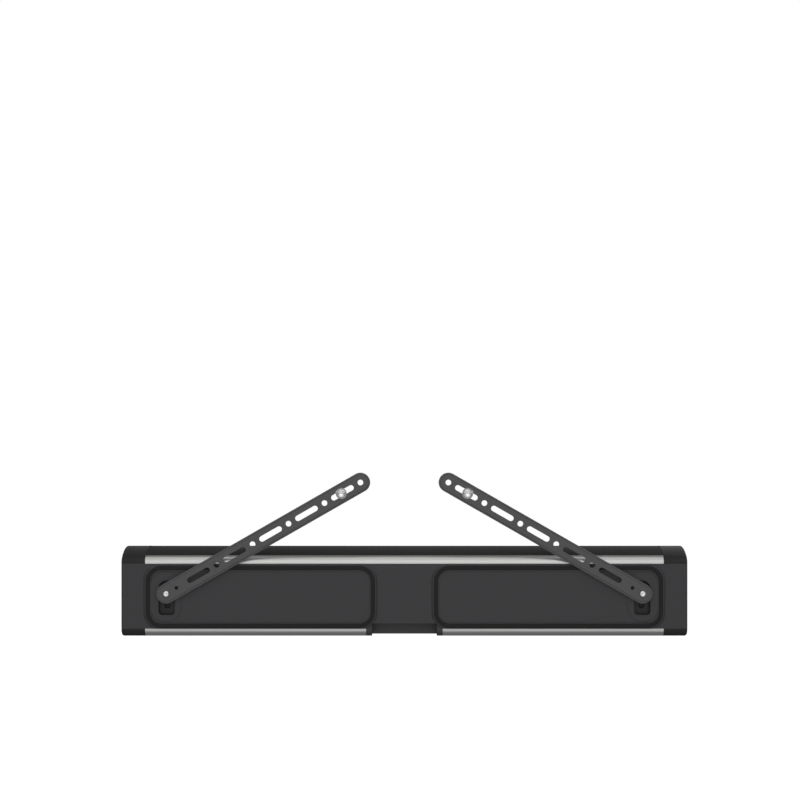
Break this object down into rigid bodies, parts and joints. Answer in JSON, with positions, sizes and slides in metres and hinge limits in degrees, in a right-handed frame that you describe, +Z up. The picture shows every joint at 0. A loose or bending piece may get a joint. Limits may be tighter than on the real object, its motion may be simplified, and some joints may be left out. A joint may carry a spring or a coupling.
{
  "type": "soundbar",
  "caption": "Long low loudspeaker bar with a cloth front, hung under a flat television on slotted swinging arms.",
  "frame": {"origin": "midway between the two television screws, in the plane of the bar's back, which is also the plane of the television's back", "axes": "+X along the bar to the right as seen from its front, -Y towards the front of the bar, +Z up"},
  "size_m": [0.9, 0.1007, 0.2606],
  "materials": {
    "grey_moulding": "fine spark-eroded texture",
    "black_moulding": "matte moulded",
    "cap_plastic": "satin moulded",
    "edge_aluminium": "satin, brushed along its length",
    "ring_rubber": "matte",
    "recess_plastic": "black coated steel",
    "small_screws": "black zinc",
    "gasket_foam": "foam",
    "grille_fabric": "woven",
    "basket_steel": "satin",
    "magnet_iron": "plated",
    "spider_cloth": "impregnated cloth",
    "circuit_board": "solder mask",
    "heatsink_aluminium": "sawn",
    "socket_plastic": "moulded",
    "light_pipe_plastic": "clear moulded",
    "button_plastic": "satin moulded",
    "cone_paper": "pressed pulp",
    "dome_silk": "coated silk",
    "arm_powder_coat": "fine powder coat",
    "turned_steel": "turned",
    "bright_zinc": "bright zinc plate",
    "spacer_nylon": "moulded"
  },
  "bodies": {
    "cabinet": {"rear_panel": "grey_moulding", "main_housing": "black_moulding", "cable_bay": "black_moulding", "top_trim": "edge_aluminium", "bottom_trim_left": "edge_aluminium", "bottom_trim_right": "edge_aluminium", "end_cap_left": "cap_plastic", "end_cap_right": "cap_plastic", "foot_ring_left": "ring_rubber", "foot_ring_right": "ring_rubber", "keyhole_plate_left": "recess_plastic", "keyhole_plate_right": "recess_plastic", "panel_screws": "small_screws", "baffle": "black_moulding", "baffle_gasket": "gasket_foam", "baffle_screws": "small_screws", "grille_frame": "black_moulding", "grille_cloth": "grille_fabric", "woofer_frames": "basket_steel", "woofer_magnets": "magnet_iron", "woofer_spiders": "spider_cloth", "woofer_surrounds": "ring_rubber", "tweeter_frames": "black_moulding", "tweeter_magnets": "magnet_iron", "driver_screws": "small_screws", "main_board": "circuit_board", "amplifier_heatsink": "heatsink_aluminium", "power_supply": "circuit_board", "board_screws": "small_screws", "power_inlet": "socket_plastic", "network_ports": "socket_plastic", "optical_port": "socket_plastic", "button_board": "circuit_board", "button_switches": "socket_plastic", "status_light_pipe": "light_pipe_plastic"},
    "stud_left": {"hook_stud_left": "turned_steel", "pivot_screw_left": "bright_zinc"},
    "hanging_arm_left": {"arm_left": "arm_powder_coat"},
    "tv_fixing_left": {"tv_screw_left": "bright_zinc", "tv_washer_left": "bright_zinc", "tv_spacer_left": "spacer_nylon"},
    "stud_right": {"hook_stud_right": "turned_steel", "pivot_screw_right": "bright_zinc"},
    "hanging_arm_right": {"arm_right": "arm_powder_coat"},
    "tv_fixing_right": {"tv_screw_right": "bright_zinc", "tv_washer_right": "bright_zinc", "tv_spacer_right": "spacer_nylon"},
    "cone_1": {"woofer_cone_1": "cone_paper"},
    "cone_2": {"woofer_cone_2": "cone_paper"},
    "cone_3": {"woofer_cone_3": "cone_paper"},
    "cone_4": {"woofer_cone_4": "cone_paper"},
    "cone_5": {"woofer_cone_5": "cone_paper"},
    "cone_6": {"woofer_cone_6": "cone_paper"},
    "dome_left": {"tweeter_dome_left": "dome_silk"},
    "dome_centre": {"tweeter_dome_centre": "dome_silk"},
    "dome_right": {"tweeter_dome_right": "dome_silk"},
    "play": {"play_button": "button_plastic"},
    "volume_up": {"volume_up_button": "button_plastic"},
    "volume_down": {"volume_down_button": "button_plastic"}
  },
  "joints": [
    {"name": "keyhole_slide_left", "type": "slide", "parent": "cabinet", "child": "stud_left", "axis": [0, 0, 1], "range_m": [-0.02, 0]},
    {"name": "arm_pivot_left", "type": "hinge", "parent": "stud_left", "child": "hanging_arm_left", "pos_m": [-0.3773, 0.008, -0.15882], "axis": [0, -1, 0], "range_deg": [-10, 305]},
    {"name": "tv_slot_slide_left", "type": "slide", "parent": "hanging_arm_left", "child": "tv_fixing_left", "axis": [0.8678, 0, 0.497], "range_m": [-0.013, 0.017]},
    {"name": "keyhole_slide_right", "type": "slide", "parent": "cabinet", "child": "stud_right", "axis": [0, 0, 1], "range_m": [-0.02, 0]},
    {"name": "arm_pivot_right", "type": "hinge", "parent": "stud_right", "child": "hanging_arm_right", "pos_m": [0.3773, 0.008, -0.15882], "axis": [0, 1, 0], "range_deg": [-10, 305]},
    {"name": "tv_slot_slide_right", "type": "slide", "parent": "hanging_arm_right", "child": "tv_fixing_right", "axis": [-0.8678, 0, 0.497], "range_m": [-0.013, 0.017]},
    {"name": "cone_travel_1", "type": "slide", "parent": "cabinet", "child": "cone_1", "axis": [0, -1, 0], "range_m": [-0.002, 0.002], "stiffness_N_per_m": 1200},
    {"name": "cone_travel_2", "type": "slide", "parent": "cabinet", "child": "cone_2", "axis": [0, -1, 0], "range_m": [-0.002, 0.002], "stiffness_N_per_m": 1200},
    {"name": "cone_travel_3", "type": "slide", "parent": "cabinet", "child": "cone_3", "axis": [0, -1, 0], "range_m": [-0.002, 0.002], "stiffness_N_per_m": 1200},
    {"name": "cone_travel_4", "type": "slide", "parent": "cabinet", "child": "cone_4", "axis": [0, -1, 0], "range_m": [-0.002, 0.002], "stiffness_N_per_m": 1200},
    {"name": "cone_travel_5", "type": "slide", "parent": "cabinet", "child": "cone_5", "axis": [0, -1, 0], "range_m": [-0.002, 0.002], "stiffness_N_per_m": 1200},
    {"name": "cone_travel_6", "type": "slide", "parent": "cabinet", "child": "cone_6", "axis": [0, -1, 0], "range_m": [-0.002, 0.002], "stiffness_N_per_m": 1200},
    {"name": "dome_travel_left", "type": "slide", "parent": "cabinet", "child": "dome_left", "axis": [0, -1, 0], "range_m": [-0.0003, 0.0003], "stiffness_N_per_m": 2000},
    {"name": "dome_travel_centre", "type": "slide", "parent": "cabinet", "child": "dome_centre", "axis": [0, -1, 0], "range_m": [-0.0003, 0.0003], "stiffness_N_per_m": 2000},
    {"name": "dome_travel_right", "type": "slide", "parent": "cabinet", "child": "dome_right", "axis": [0, -1, 0], "range_m": [-0.0003, 0.0003], "stiffness_N_per_m": 2000},
    {"name": "play_press", "type": "slide", "parent": "cabinet", "child": "play", "axis": [-1, 0, 0], "range_m": [0, 0.0006], "stiffness_N_per_m": 600, "springref_m": -0.0006},
    {"name": "volume_up_press", "type": "slide", "parent": "cabinet", "child": "volume_up", "axis": [-1, 0, 0], "range_m": [0, 0.0006], "stiffness_N_per_m": 600, "springref_m": -0.0006},
    {"name": "volume_down_press", "type": "slide", "parent": "cabinet", "child": "volume_down", "axis": [-1, 0, 0], "range_m": [0, 0.0006], "stiffness_N_per_m": 600, "springref_m": -0.0006}
  ]
}
